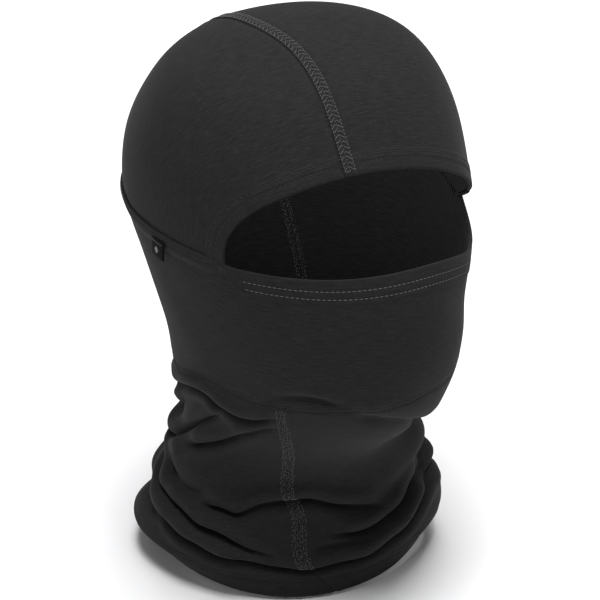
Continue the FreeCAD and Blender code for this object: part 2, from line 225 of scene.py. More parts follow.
def on_form(turn, height):
    """Points of the form at turns and heights."""
    turn, height = np.broadcast_arrays(np.asarray(turn, float), np.asarray(height, float))
    angle = np.radians(turn)
    middle = reach(WIDEST, height)
    far = np.where(np.cos(angle) > 0, reach(FRONT, height), reach(BACK, height))
    x = reach(SIDE, height) * np.sin(angle)
    return np.stack([x, middle + (far - middle) * np.abs(np.cos(angle)), height], -1)


def outside(p):
    """How far out points lie: 1 on the form."""
    middle = reach(WIDEST, p[..., 2])
    far = np.where(p[..., 1] < middle, reach(FRONT, p[..., 2]), reach(BACK, p[..., 2])) - middle
    far = np.where(np.abs(far) < 0.01, 0.01, far)
    side = np.maximum(reach(SIDE, p[..., 2]), 0.01)
    measure = np.hypot(p[..., 0] / side, (p[..., 1] - middle) / far)
    return np.where(p[..., 2] >= CROWN_HEIGHT, 10.0, measure)


def turn_of(p):
    """The turn of points of the form."""
    middle = reach(WIDEST, p[..., 2])
    front = p[..., 1] < middle
    far = np.abs(np.where(front, reach(FRONT, p[..., 2]), reach(BACK, p[..., 2])) - middle)
    cosine = np.abs(p[..., 1] - middle) / np.maximum(far, 0.01) * np.where(front, 1, -1)
    return np.degrees(np.arctan2(p[..., 0] / np.maximum(reach(SIDE, p[..., 2]), 0.01), cosine))


def cast(p):
    """The form's points in the direction of p, seen from the centre of the head."""
    ray = p - HEAD_CENTRE
    ray = ray / np.linalg.norm(ray, axis=-1, keepdims=True)
    low = np.full(p.shape[:-1], 20.0)
    high = np.full(p.shape[:-1], 170.0)
    for _ in range(34):
        middle = (low + high) / 2
        inside = outside(HEAD_CENTRE + ray * middle[..., None]) < 1
        low = np.where(inside, middle, low)
        high = np.where(inside, high, middle)
    return HEAD_CENTRE + ray * low[..., None]


def unit(v):
    """Vectors at length 1."""
    return v / np.maximum(np.linalg.norm(v, axis=-1, keepdims=True), 1e-9)


def normal_at(p):
    """The form's outward directions at its points."""
    step = 0.6
    slopes = []
    for axis in np.eye(3) * step:
        slopes.append(outside(p + axis) - outside(p - axis))
    slopes = np.stack(slopes, -1)
    slopes[..., 2] = np.where(p[..., 2] < step, 0, slopes[..., 2])
    top = p[..., 2] > CROWN_HEIGHT - 2 * step
    return np.where(top[..., None], np.array([0.0, 0.0, 1.0]), unit(slopes))


def bell(d, width):
    """A bump of height 1 about 0."""
    return np.exp(-(d / width) ** 2)


def rise(x, low, high):
    """From 0 below low to 1 above high, smoothly."""
    t = np.clip((x - low) / (high - low), 0, 1)
    return t * t * (3 - 2 * t)


def wrap(turn):
    """Turns between -180 and 180."""
    return (turn + 180) % 360 - 180


def ring_height(turn):
    """Height of the line between hood and face piece."""
    depth, middle, spread = RING_DIP
    return RING_HEIGHT - depth * bell(wrap(turn) - middle, spread)


def jaw_height(turn):
    """Height of the line between face piece and neck tube, pulled up where the cloth bunches."""
    pull, middle, spread = JAW_PULL
    level = JAW_HEIGHT + JAW_RISE * np.cos(np.radians(turn))
    return level + pull * bell(wrap(turn - middle), spread)


def neck_seam_turn(height):
    """Where the neck tube's closing seam lies."""
    heights, turns = np.array(NECK_SEAM, float).T
    return natural_spline(heights, turns, np.clip(height, heights[0], heights[-1]))


def face_seam_turn(height):
    """Where the face piece's closing seam lies, going round by the wearer's left."""
    return 180 - np.degrees(np.arcsin(FACE_SEAM_X / reach(SIDE, height)))


def slack(p):
    """Gentle unevenness of worn cloth."""
    x, y, z = p[..., 0], p[..., 1], p[..., 2]
    first = np.sin(x / 17 + 0.8) * np.sin(z / 19 + y / 37 + 1.1)
    second = np.sin(y / 13 - z / 23 + 2.0) * np.sin(x / 21 + z / 31 + 0.4)
    third = np.sin(x / 8.5 + y / 9.5 + 0.5) * np.sin(z / 10.5 - y / 14 + 2.2)
    return 0.45 * first + 0.35 * second + 0.16 * third


def crease_bump(away, width, strength, up, shift, spread):
    """One bump of a crease's section."""
    return strength * bell(away - up * width - shift, spread * width)


def fold_relief(turn, height):
    """The folds: how far the cloth stands out, and how far it hangs down over each crease."""
    out = np.zeros(np.broadcast(turn, height).shape)
    drop = np.zeros_like(out)
    for _, points, depth, width in FOLDS:
        turns, heights = np.array(points, float).T
        for lap in (-360, 0, 360):
            place = turn + lap
            near = (place > turns[0]) & (place < turns[-1])
            if not near.any():
                continue
            held = np.clip(place, turns[0], turns[-1])
            line = natural_spline(turns, heights, held)
            slope = (natural_spline(turns, heights, np.clip(held + 1, None, turns[-1])) - line) / 1.15
            away = (height - line) / np.sqrt(1 + slope ** 2)
            ends = rise(place, turns[0], turns[0] + CREASE_FADE)
            ends = ends * (1 - rise(place, turns[-1] - CREASE_FADE, turns[-1]))
            wander = 1 + 0.16 * np.sin(place / 7.3 + depth * 9) + 0.1 * np.sin(place / 3.1 + depth * 5)
            size = depth * ends * wander * near
            out += size * sum(crease_bump(away, width, *bump) for bump in CREASE)
            drop += size * crease_bump(away, width, *CREASE_HANG)
    return out, drop


def tube_relief(turn, height, out):
    """The folds, bulges, hem lifts and the jaw seam, on the face piece and the neck tube."""
    folds, drop = fold_relief(turn, height)
    above_hem = rise(height, 9, 17)
    out = out + folds * (0.1 + 0.9 * above_hem)
    drop = drop * above_hem
    for middle, level, amount, spread, tall in BULGES:
        out = out + amount * bell(wrap(turn - middle), spread) * bell(height - level, tall)
    for middle, lift, spread in HEM_LIFTS:
        drop = drop - lift * bell(wrap(turn - middle), spread) * (1 - rise(height, 0, HEM_LIFT_TOP))
    seam = height - jaw_height(turn)
    return out - SEAM_GROOVE * bell(seam, 1.9) + 0.12 * bell(seam - 4.5, 2.6), drop


def face_relief(turn, height, out):
    """The thick joined edge, the mask's hem, a dent in the left cheek and the closing seam."""
    below = ring_height(turn) - height
    joined = rise(wrap(turn), *LEFT_CORNER) + 1 - rise(wrap(turn), *RIGHT_CORNER)
    joined = np.clip(joined, 0, 1)
    out = out + joined * (JOINED_EDGE * (1 - rise(below, 1.5, 7)))
    hem = (1 - joined) * (1 - rise(below, MASK_HEM - 0.6, MASK_HEM + 0.8))
    grooves = sum(bell(below - row, ROW_WIDTH) for row in MASK_ROWS)
    out = out + hem * HEM_STEP - (1 - joined) * ROW_GROOVE * grooves
    dent = bell((wrap(turn) - 44) + (height - 158) * 0.9, 13) * bell(height - 158, 22)
    out = out - CHEEK_DENT * dent
    back = (wrap(turn - face_seam_turn(height))) * reach(SIDE, height) * math.pi / 180
    return out - 0.5 * bell(back, 1.0) * (np.abs(wrap(turn)) > 90)


def neck_relief(turn, height, out):
    """The neck's hem and its closing seam."""
    out = out + 0.5 * (1 - rise(height, NECK_HEM - 1, NECK_HEM + 1))
    out = out - ROW_GROOVE * sum(bell(height - row, 0.8) for row in NECK_ROWS)
    across = wrap(turn - neck_seam_turn(height)) * 0.95
    return out - 0.5 * bell(across, 0.9) + 0.25 * (bell(across - 2, 1.6) + bell(across + 2, 1.6))


def hood_relief(turn, height, out, arch, crown, side):
    """The eye hem, the crown seam and the edge tucked under the face piece."""
    middle, level, amount, spread, tall = CROWN_BULGE
    out = out * 0.75 + amount * bell(wrap(turn - middle), spread) * bell(height - level, tall)
    out = out + HEM_STEP * (1 - rise(arch, EYE_HEM - 0.4, EYE_HEM + 1.0))
    out = out - 0.33 * sum(bell(arch - row, ROW_WIDTH) for row in EYE_ROWS)
    out = out + 0.5 * (1 - rise(crown, 2.6, 3.4)) - 0.35 * bell(crown, 0.6)
    out = out - (0.9 if side < 0 else 0.3) * bell(crown - 3.5, 0.8)
    out = out + 0.35 * bell(crown - 6.5, 3.0) * (1 if side < 0 else 0.3)
    above = height - ring_height(turn)
    return out - 0.5 * (1 - rise(above, 0, 5)) * rise(np.abs(wrap(turn)), 60, 90)


def relief(part, turn, height, p, **near):
    """How far the cloth of a part stands out from the form, and how far down it hangs."""
    out = slack(p)
    if part == "hood":
        return hood_relief(turn, height, out, **near), np.zeros_like(out)
    out, drop = tube_relief(turn, height, out)
    shape = face_relief if part == "face" else neck_relief
    return shape(turn, height, out), drop


def dress(part, turn, height):
    """Points of the face piece's or the neck tube's cloth at turns and heights."""
    p = on_form(turn, height)
    out, drop = relief(part, turn, height, p)
    return on_form(turn, height - drop) + normal_at(p) * out[..., None]


def dress_normal(part, turn, height):
    """Outward directions of the face piece's or the neck tube's cloth."""
    step = 0.35
    along = dress(part, turn + step, height) - dress(part, turn - step, height)
    up = dress(part, turn, height + step) - dress(part, turn, height - step)
    return unit(np.cross(along, up))


def grid_normals(grid, outward):
    """The directions square to a grid, on the side of given rough directions."""
    rows, columns = np.gradient(grid, axis=0), np.gradient(grid, axis=1)
    square = unit(np.cross(rows, columns))
    sign = np.sign(np.sum(square * outward, axis=-1, keepdims=True))
    return square * np.where(sign == 0, 1, sign)


def lengths(grid):
    """Real distances along a grid's rows and columns, for the knit's scale."""
    down = np.linalg.norm(np.diff(grid, axis=0), axis=-1)
    over = np.linalg.norm(np.diff(grid, axis=1), axis=-1)
    first = np.concatenate([np.zeros((1, grid.shape[1])), np.cumsum(down, 0)])
    second = np.concatenate([np.zeros((grid.shape[0], 1)), np.cumsum(over, 1)], 1)
    second = second - second[:, [second.shape[1] // 2]]
    return first, second


def make_mesh(name, verts, faces, uv=None):
    """A mesh object in metres from vertices in millimetres."""
    mesh = bpy.data.meshes.new(name)
    faces = np.asarray(faces, np.int32)
    mesh.vertices.add(len(verts))
    mesh.vertices.foreach_set("co", (np.asarray(verts) * 0.001).astype(np.float32).ravel())
    mesh.loops.add(faces.size)
    mesh.loops.foreach_set("vertex_index", faces.ravel())
    mesh.polygons.add(len(faces))
    mesh.polygons.foreach_set("loop_start", np.arange(len(faces), dtype=np.int32) * faces.shape[1])
    mesh.update(calc_edges=True)
    mesh.validate()
    if uv is not None:
        layer = mesh.uv_layers.new(name="Cloth")
        layer.data.foreach_set("uv", (uv[faces.ravel()] * 0.001).astype(np.float32).ravel())
    mesh.polygons.foreach_set("use_smooth", np.ones(len(faces), bool))
    thing = bpy.data.objects.new(name, mesh)
    bpy.context.scene.collection.objects.link(thing)
    return thing


def cloth(name, grid, outward, thickness=PLY, girth=None):
    """A closed sheet of cloth under a grid of its outer points, with rounded edges."""
    normals = grid_normals(grid, outward)
    inner = grid - normals * thickness
    rows, columns = grid.shape[:2]
    first, second = lengths(grid)
    if girth:
        first = np.broadcast_to(first.mean(1, keepdims=True), first.shape)
        second = np.broadcast_to(np.linspace(0, girth, columns), second.shape)
    uv = np.stack([second, first], -1).reshape(-1, 2)
    index = np.arange(rows * columns).reshape(rows, columns)
    quads = np.stack([index[:-1, :-1], index[1:, :-1], index[1:, 1:], index[:-1, 1:]], -1).reshape(-1, 4)
    edge = np.concatenate([index[0, :-1], index[:-1, -1], index[-1, :0:-1], index[:0:-1, 0]])
    flat_grid, flat_inner = grid.reshape(-1, 3), inner.reshape(-1, 3)
    flat_normals = normals.reshape(-1, 3)
    along = flat_grid[np.roll(edge, -1)] - flat_grid[np.roll(edge, 1)]
    away = unit(np.cross(along, flat_normals[edge]))
    step_in = np.concatenate([index[1, :-1], index[:-1, -2], index[-2, :0:-1], index[:0:-1, 1]])
    away = away * np.sign(np.sum(away * (flat_grid[edge] - flat_grid[step_in]), -1, keepdims=True))
    middle = (flat_grid[edge] + flat_inner[edge]) / 2
    half = (flat_grid[edge] - flat_inner[edge]) / 2
    verts = [flat_grid, flat_inner]
    uvs = [uv, uv]
    loops = [edge]
    total = 2 * len(flat_grid)
    for angle in (45, 90, 135):
        a = math.radians(angle)
        verts.append(middle + half * math.cos(a) + away * thickness / 2 * math.sin(a))
        uvs.append(uv[edge])
        loops.append(np.arange(total, total + len(edge)))
        total += len(edge)
    loops.append(edge + len(flat_grid))
    faces = [quads, quads[:, ::-1] + len(flat_grid)]
    for one, other in zip(loops[:-1], loops[1:]):
        faces.append(np.stack([one, np.roll(one, -1), np.roll(other, -1), other], -1))
    faces = np.concatenate(faces)
    verts = np.concatenate(verts)
    across = np.cross(verts[quads[:, 1]] - verts[quads[:, 0]], verts[quads[:, 3]] - verts[quads[:, 0]])
    if np.sum(across * flat_normals[quads[:, 0]]) < 0:
        faces = faces[:, ::-1]
    return make_mesh(name, verts, faces, np.concatenate(uvs))


def fold_over(grid, outward, radius=FOLD_RADIUS):
    """A grid whose first row is a hem's edge, with rows added before it that turn under."""
    normals = grid_normals(grid, outward)
    edge, normal = grid[0], normals[0]
    away = unit(grid[0] - grid[1])
    rows = []
    for angle in (25, 50, 75, 100, 125, 150, 180):
        a = math.radians(angle)
        rows.append(edge + away * radius * math.sin(a) - normal * radius * (1 - math.cos(a)))
    rows.append(rows[-1] - away * 0.6)
    turned = np.array(rows[::-1])
    outs = np.broadcast_to(normal, turned.shape).copy()
    for k, angle in enumerate((180, 180, 150, 125, 100, 75, 50, 25)):
        a = math.radians(angle)
        outs[k] = normal * math.cos(a) + away * math.sin(a)
    return np.concatenate([turned, grid]), np.concatenate([outs, normals])


def finish_piece(piece, body, slot_name, material, *nodes):
    """Gives a piece its finish and its body (a mask piece only has its transform baked), and hides the CAD
    nodes that it stands for.
    """
    piece.data.materials.append(material)
    if body == "mask":
        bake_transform(piece)
    else:
        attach(piece, body)
    if nodes:
        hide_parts(*nodes)
    return piece


# ---------------------------------------------------------------- finishes
def node(tree, kind, **inputs):
    """A shader node with its inputs set."""
    made = tree.nodes.new(kind)
    for key, value in inputs.items():
        made.inputs[key.replace("_", " ")].default_value = value
    return made


def knit(name, dark, light, fleck):
    """Marled jersey: short light fibres along the courses of a dark knit, with a dull nap."""
    material = bpy.data.materials.new(name)
    material.use_nodes = True
    tree = material.node_tree
    shader = tree.nodes["Principled BSDF"]
    place = tree.nodes.new("ShaderNodeUVMap")
    place.uv_map = "Cloth"

    def noise(across, up, detail, roughness):
        spread = tree.nodes.new("ShaderNodeMapping")
        spread.inputs["Scale"].default_value = (across, up, 1)
        tree.links.new(place.outputs["UV"], spread.inputs["Vector"])
        made = node(tree, "ShaderNodeTexNoise", Scale=1.0, Detail=detail, Roughness=roughness)
        tree.links.new(spread.outputs["Vector"], made.inputs["Vector"])
        return made.outputs["Fac"]

    def ramp(source, stops):
        made = tree.nodes.new("ShaderNodeValToRGB")
        for k, (at, value) in enumerate(stops):
            stop = made.color_ramp.elements[k] if k < 2 else made.color_ramp.elements.new(at)
            stop.position = at
            stop.color = (value[0], value[1], value[2], 1)
        tree.links.new(source, made.inputs["Fac"])
        return made.outputs["Color"]

    marl = ramp(noise(130, 1300, 4, 0.65), [(0.32, dark), (0.70, light)])
    dots = ramp(noise(330, 1900, 2, 0.5), [(0.62, (0, 0, 0)), (0.78, (1, 1, 1))])
    mixer = tree.nodes.new("ShaderNodeMix")
    mixer.data_type = "RGBA"
    tree.links.new(dots, mixer.inputs[0])
    tree.links.new(marl, mixer.inputs[6])
    mixer.inputs[7].default_value = (*fleck, 1)
    tree.links.new(mixer.outputs[2], shader.inputs["Base Color"])
    shader.inputs["Roughness"].default_value = 0.92
    shader.inputs["Specular IOR Level"].default_value = 0.15
    shader.inputs["Sheen Weight"].default_value = 0.025
    shader.inputs["Sheen Roughness"].default_value = 0.5
    bump = node(tree, "ShaderNodeBump", Strength=0.5, Distance=0.0003)
    tree.links.new(noise(900, 1500, 2, 0.5), bump.inputs["Height"])
    tree.links.new(bump.outputs["Normal"], shader.inputs["Normal"])
    return material


def plain(name, colour, roughness):
    """An even finish."""
    material = bpy.data.materials.new(name)
    material.use_nodes = True
    shader = material.node_tree.nodes["Principled BSDF"]
    shader.inputs["Base Color"].default_value = (*colour, 1)
    shader.inputs["Roughness"].default_value = roughness
    shader.inputs["Specular IOR Level"].default_value = 0.15
    return material


JERSEY = knit("jersey marl", (0.0085, 0.0085, 0.0086), (0.0185, 0.0185, 0.0187), (0.034, 0.034, 0.0343))
THREAD = plain("light thread", (0.105, 0.105, 0.107), 0.85)
TONAL = plain("tonal thread", (0.036, 0.036, 0.0365), 0.9)
OVERLOCK = plain("overlock thread", (0.026, 0.026, 0.0265), 0.9)
TAPE = plain("label tape", (0.0022, 0.0022, 0.0023), 0.9)
MARK = plain("label mark", (0.20, 0.20, 0.205), 0.8)


# ---------------------------------------------------------------- lines on the form
ARCH = through(EYE_ARCH, 361)
ARCH_LINE = on_form(ARCH[:, 0], ARCH[:, 1])
SEAM_FOOT = int(np.argmin(np.abs(ARCH[:, 0] - CROWN_SEAM_ARCH_TURN)))
NAPE_TURN = HOOD_TURNS["right"][2]
NAPE = on_form(NAPE_TURN, ring_height(NAPE_TURN))
SEAM_LINE = cast(through([ARCH_LINE[SEAM_FOOT], *cast(np.array(CROWN_SEAM, float)), NAPE], 601))


def spaced(line, count):
    """Evenly spaced points of a line."""
    run = np.concatenate([[0], np.cumsum(np.linalg.norm(np.diff(line, axis=0), axis=-1))])
    places = np.linspace(0, run[-1], count)
    return np.stack([np.interp(places, run, line[:, k]) for k in range(line.shape[1])], -1)


def distance(p, line):
    """Each point's distance from a line."""
    flat = p.reshape(-1, 3)
    near = np.empty(len(flat))
    for first in range(0, len(flat), 4000):
        part = flat[first:first + 4000]
        near[first:first + 4000] = np.sqrt(((part[:, None] - line[None]) ** 2).sum(-1).min(1))
    return near.reshape(p.shape[:-1])


def dress_hood(p, side):
    """The hood's cloth over points of the form, on one side of the crown seam."""
    arch, crown = distance(p, ARCH_LINE), distance(p, SEAM_LINE)
    out, _ = relief("hood", turn_of(p), p[..., 2], p, arch=arch, crown=crown, side=side)
    return p + normal_at(p) * out[..., None]


def hood_panel(side):
    """One half of the hood, from the crown seam down to the line of the face piece."""
    sign = -1 if side == "right" else 1
    corner_turn, low_turn, nape_turn = HOOD_TURNS[side]
    along, across = 230, 150
    # Rows crowd towards the eye edge and towards the crown seam, where the hem and the groove are.
    u = np.linspace(0, 1, along)
    v = np.linspace(0, 1, across)
    u = u - 0.06 * np.sin(math.pi * u)
    v = v - 0.10 * np.sin(math.pi * v)
    seam = spaced(SEAM_LINE, 1201)
    gap = np.array([sign * 0.12, 0, 0])
    top = cast(seam[np.round(u * 1200).astype(int)] + gap)
    arch = ARCH[SEAM_FOOT::-1] if side == "right" else ARCH[SEAM_FOOT:]
    arch = spaced(arch, 1201)[np.round(v * 1200).astype(int)]
    front = on_form(arch[:, 0], arch[:, 1])
    low_turns = corner_turn + (low_turn - corner_turn) * u
    low = on_form(low_turns, ring_height(low_turns))
    back_turns = nape_turn + (low_turn - nape_turn) * v
    back = on_form(back_turns, ring_height(back_turns))
    low[0], top[0], top[-1] = front[-1], front[0], back[0]
    u, v = u[:, None, None], v[None, :, None]
    ruled = top[:, None] * (1 - v) + low[:, None] * v + front[None] * (1 - u) + back[None] * u
    corners = (top[0] * (1 - v) + low[0] * v) * (1 - u) + (top[-1] * (1 - v) + low[-1] * v) * u
    form = cast(ruled - corners)
    grid = dress_hood(form, sign)
    grid, outward = fold_over(grid, normal_at(form))
    return cloth("hood_panel_%s.cloth" % side, grid, outward)


def tube(part, low, high, seam_turn, rows, columns):
    """A cut tube of cloth between two heights, from its closing seam round to it again."""
    rise_by = np.linspace(0, 1, rows)[:, None]
    share = np.linspace(0, 1, columns)[None, :]
    turn = seam_turn(60.0 if part == "neck" else 150.0) + 360 * share + 0 * rise_by
    for _ in range(4):
        height = low(turn) + (high(turn) - low(turn)) * rise_by
        turn = seam_turn(height) + 0.12 + (360 - 0.24) * share
    p = on_form(turn, height)
    return dress(part, turn, height), normal_at(p)


def face_top(turn):
    """The upper edge of the face piece: level with the line, and lapped over it behind the eyes."""
    away = np.abs(wrap(turn - 10))
    return ring_height(turn) + OVERLAP * rise(away, 62, 78)


def face_piece():
    """Mask, cheeks and nape in one piece, its top edge folded."""
    grid, outward = tube("face", jaw_height, face_top, face_seam_turn, 84, 400)
    grid, outward = fold_over(grid[::-1], outward[::-1], MASK_FOLD_RADIUS)
    return cloth("face_panel.cloth", grid, outward, girth=FACE_GIRTH)


def neck_tube():
    """The neck tube with its folds, its lower edge turned up inside."""
    grid, outward = tube("neck", lambda turn: 0 * turn + FOLD_RADIUS, jaw_height, neck_seam_turn, 170, 420)
    grid, outward = fold_over(grid, outward)
    return cloth("neck_panel.cloth", grid, outward, girth=NECK_GIRTH)


def eye_hem():
    """The hood's edge turned in round the eye opening."""
    line = spaced(ARCH_LINE, 200)
    tangent = unit(np.gradient(line, axis=0))
    up = unit(np.cross(normal_at(line), tangent))
    up = up * np.where(up[:, 2:3] + 0.2 > 0, 1, -1)
    steps = np.linspace(FOLD_RADIUS + 0.4, EYE_HEM, 9)
    form = cast(line[None] + up[None] * steps[:, None, None])
    side = np.where(np.arange(200) < 200 * SEAM_FOOT / 361, -1, 1)
    outer = dress_hood(form, -1)
    outer[:, side > 0] = dress_hood(form[:, side > 0], 1)
    normal = normal_at(form)
    return cloth("eye_hem.cloth", outer - normal * (HEM_DEPTH), normal)


def mask_hem():
    """The mask's top edge turned in."""
    turn = np.linspace(*MASK_TURNS, 130)[None, :]
    height = ring_height(turn) - np.linspace(MASK_HEM, 1.4, 11)[:, None]
    outer = dress("face", turn + 0 * height, height)
    normal = dress_normal("face", turn + 0 * height, height)
    return cloth("mask_hem.cloth", outer - normal * (MASK_HEM_DEPTH), normal)


def neck_hem():
    """The neck tube's lower edge turned up inside."""
    share = np.linspace(0, 1, 300)[None, :]
    height = np.linspace(1.6, NECK_HEM, 14)[:, None] + 0 * share
    turn = neck_seam_turn(height) + 0.3 + 359.4 * share
    outer = dress("neck", turn, height)
    normal = dress_normal("neck", turn, height)
    return cloth("neck_hem.cloth", outer - normal * (HEM_DEPTH), normal)


# ---------------------------------------------------------------- thread
RING = np.radians(np.arange(0, 360, 60))
SHARES = np.array([0, 0.2, 0.5, 0.8, 1.0])
TAPER = np.array([0.45, 0.95, 1.0, 0.95, 0.45])
SPECKLE_COLUMNS = 6

# Stitch lengths, thread radii and the half widths of the seams' bands.
HEM_PITCH = 2.6
CLOSE_PITCH = 2.4
FLAT_PITCH = 2.7
FINE_THREAD = 0.17
CROWN_HALF = 2.6
INNER_HALF = 2.4
FELL = (-4.8, -0.6)


def threads(name, starts, ends, normals, radius=0.24, arch=0.22, sink=0.12):
    """Short threads from starts to ends, each a little arch that dips into the cloth at its ends."""
    starts, ends, normals = (np.asarray(a, float).reshape(-1, 3) for a in (starts, ends, normals))
    along = ends - starts
    tangent = unit(along)
    beside = unit(np.cross(tangent, normals))
    over = np.cross(beside, tangent)
    lift = arch * np.sin(math.pi * SHARES) - sink * np.abs(2 * SHARES - 1) ** 3
    centres = (starts[:, None] + along[:, None] * SHARES[None, :, None]
               + over[:, None] * lift[None, :, None])
    rings = (beside[:, None, None] * np.cos(RING)[None, None, :, None]
             + over[:, None, None] * np.sin(RING)[None, None, :, None])
    verts = centres[:, :, None] + rings * (radius * TAPER)[None, :, None, None]
    around, rings_each = len(RING), len(SHARES)
    faces = []
    for k in range(rings_each - 1):
        for j in range(around):
            i = (j + 1) % around
            low, high = around * k, around * (k + 1)
            faces.append([low + j, low + i, high + i, high + j])
    last = around * (rings_each - 1)
    faces += [[3, 2, 1, 0], [5, 4, 3, 0], [last, last + 1, last + 2, last + 3],
              [last, last + 3, last + 4, last + 5]]
    faces = np.array(faces)[None] + around * rings_each * np.arange(len(starts))[:, None, None]
    return make_mesh(name, verts.reshape(-1, 3), faces.reshape(-1, 4))


class Row:
    """A line on the cloth that stitches follow: s along it in millimetres, w to its left or above it."""

    def __init__(self, place, length):
        self.place = place
        self.length = length

    def at(self, s, w):
        s, w = np.broadcast_arrays(np.asarray(s, float), np.asarray(w, float))
        return self.place(np.clip(s, 0, self.length), w)


def level_row(part, height, first, last):
    """A row round the face piece or the neck tube: w is upwards."""
    turns = np.linspace(first, last, 700)
    points = dress(part, turns, height(turns))
    run = np.concatenate([[0], np.cumsum(np.linalg.norm(np.diff(points, axis=0), axis=-1))])

    def place(s, w):
        turn = np.interp(s, run, turns)
        level = height(turn) + w
        return dress(part, turn, level), dress_normal(part, turn, level)
    return Row(place, run[-1])


def upright_row(part, seam_turn, low, high):
    """A row up a closing seam: w is towards the wearer's left, seen from outside."""
    heights = np.linspace(low, high, 400)
    points = dress(part, seam_turn(heights), heights)
    run = np.concatenate([[0], np.cumsum(np.linalg.norm(np.diff(points, axis=0), axis=-1))])

    def place(s, w):
        height = np.interp(s, run, heights)
        turn = seam_turn(height)
        spread = np.linalg.norm(on_form(turn + 0.5, height) - on_form(turn - 0.5, height), axis=-1)
        turn = turn + w / spread
        return dress(part, turn, height), dress_normal(part, turn, height)
    return Row(place, run[-1])


def hood_row(line):
    """A row over the hood beside a line of the form: w is to the line's left."""
    line = spaced(line, 900)
    run = np.concatenate([[0], np.cumsum(np.linalg.norm(np.diff(line, axis=0), axis=-1))])
    tangent = unit(np.gradient(line, axis=0))
    left = unit(np.cross(normal_at(line), tangent))

    def place(s, w):
        at = np.stack([np.interp(s, run, line[:, k]) for k in range(3)], -1)
        aside = unit(np.stack([np.interp(s, run, left[:, k]) for k in range(3)], -1))
        form = cast(at + aside * w[..., None])
        return dress_hood(form, 1), normal_at(form)
    return Row(place, run[-1])


def chain(row, w, pitch, size=0.8):
    """Stitches end to end along a row."""
    s = np.arange(0.0, row.length - pitch, pitch)
    first, normal = row.at(s, w)
    last, _ = row.at(s + pitch * size, w)
    return first, last, normal


def rungs(row, low, high, pitch, slant):
    """Stitches across a row."""
    s = np.arange(0.3, row.length - abs(slant) - 0.3, pitch)
    first, normal = row.at(s, low)
    last, other = row.at(s + slant, high)
    return first, last, unit(normal + other)


def sew(name, parts, **how):
    """One mesh of thread from several runs of stitches."""
    joined = [np.concatenate([part[k] for part in parts]) for k in range(3)]
    return threads(name, *joined, **how)


def inside_of(part, depth):
    """Stitches moved through to the inside of the cloth."""
    first, last, normal = part
    return first - normal * depth, last - normal * depth, -normal


def flatlock(row, half, pitch):
    """A flat seam's outer threads: slanted rungs between two beaded edges and a middle row."""
    return [rungs(row, -half, -0.2, pitch, pitch * 0.75), rungs(row, 0.2, half, pitch, -pitch * 0.75),
            chain(row, -half, pitch / 1.5, 0.72), chain(row, half, pitch / 1.5, 0.72),
            chain(row, 0.0, pitch / 1.5, 0.6)]


def speckle(row, low_half, high_half, pitch, seed):
    """A worn flat seam: short slanted threads scattered over a band that may widen along the row."""
    chance = np.random.default_rng(seed)
    columns = SPECKLE_COLUMNS
    s = np.repeat(np.arange(0.8, row.length - 1.5, pitch), columns)
    w = np.tile(np.linspace(-1, 1, columns), len(s) // columns)
    s = s + chance.uniform(-0.45, 0.45, len(s)) * pitch
    half = low_half + (high_half - low_half) * s / row.length
    w = w * half + chance.uniform(-0.25, 0.25, len(s))
    lean = chance.choice([-1, 1], len(s)) * chance.uniform(0.2, 0.6, len(s))
    first, normal = row.at(s, w)
    last, _ = row.at(s + chance.uniform(0.35, 0.85, len(s)), w + lean)
    return first, last, normal


def overlock(row, low, high, pitch):
    """A seam's inner threads: a close zigzag and an edge chain."""
    zig = rungs(row, low, high, pitch, pitch / 2)
    zag = rungs(row, high, low, pitch, pitch / 2)
    return [inside_of(part, PLY + 0.12) for part in (zig, zag, chain(row, low, pitch, 0.9))]


# ---------------------------------------------------------------- the cloth pieces
def mm_box(name):
    """A CAD node's corners in millimetres."""
    low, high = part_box(name)
    return np.array(low) * 1000, np.array(high) * 1000


right = finish_piece(hood_panel("right"), "garment", "jersey", JERSEY, "hood_panel_right")
left = finish_piece(hood_panel("left"), "garment", "jersey", JERSEY, "hood_panel_left")
face = finish_piece(face_piece(), "mask", "jersey", JERSEY, "face_panel")
neck = finish_piece(neck_tube(), "garment", "jersey", JERSEY, "neck_panel")
eye_ply = finish_piece(eye_hem(), "garment", "jersey", JERSEY, "eye_hem")
mask_ply = finish_piece(mask_hem(), "mask", "jersey", JERSEY, "mask_hem")
neck_ply = finish_piece(neck_hem(), "garment", "jersey", JERSEY, "neck_hem")

# ---------------------------------------------------------------- the sewing
# Rows round the eye opening, on the hood.
arch_up = ARCH_LINE[8:-8]
arch_left = np.cross(normal_at(arch_up), unit(np.gradient(arch_up, axis=0)))
if arch_left[len(arch_left) // 2, 2] < 0:
    arch_up = arch_up[::-1]
eye_row = hood_row(arch_up)
finish_piece(sew("eye_hem.stitches", [chain(eye_row, w, HEM_PITCH) for w in EYE_ROWS], radius=FINE_THREAD),
             "garment", "thread", TONAL, "eye_hem_stitching")

# Rows below the mask edge: light at the front, where the thread is stretched open.
mask_row = level_row("face", ring_height, MASK_TURNS[0] + 1, MASK_TURNS[1] - 1)
finish_piece(sew("mask_hem.stitches", [chain(mask_row, -w, HEM_PITCH) for w in MASK_ROWS], radius=0.2),
             "mask", "thread", THREAD, "mask_hem_stitching")

# Rows above the neck hem.
parts = []
for level in NECK_ROWS:
    start = float(neck_seam_turn(np.array(level)))
    hem_row = level_row("neck", lambda turn, level=level: 0 * turn + level, start + 1, start + 359)
    parts.append(chain(hem_row, 0.0, FLAT_PITCH))
finish_piece(sew("neck_hem.stitches", parts, radius=0.15), "garment", "overlock_thread", OVERLOCK,
             "neck_hem_stitching")

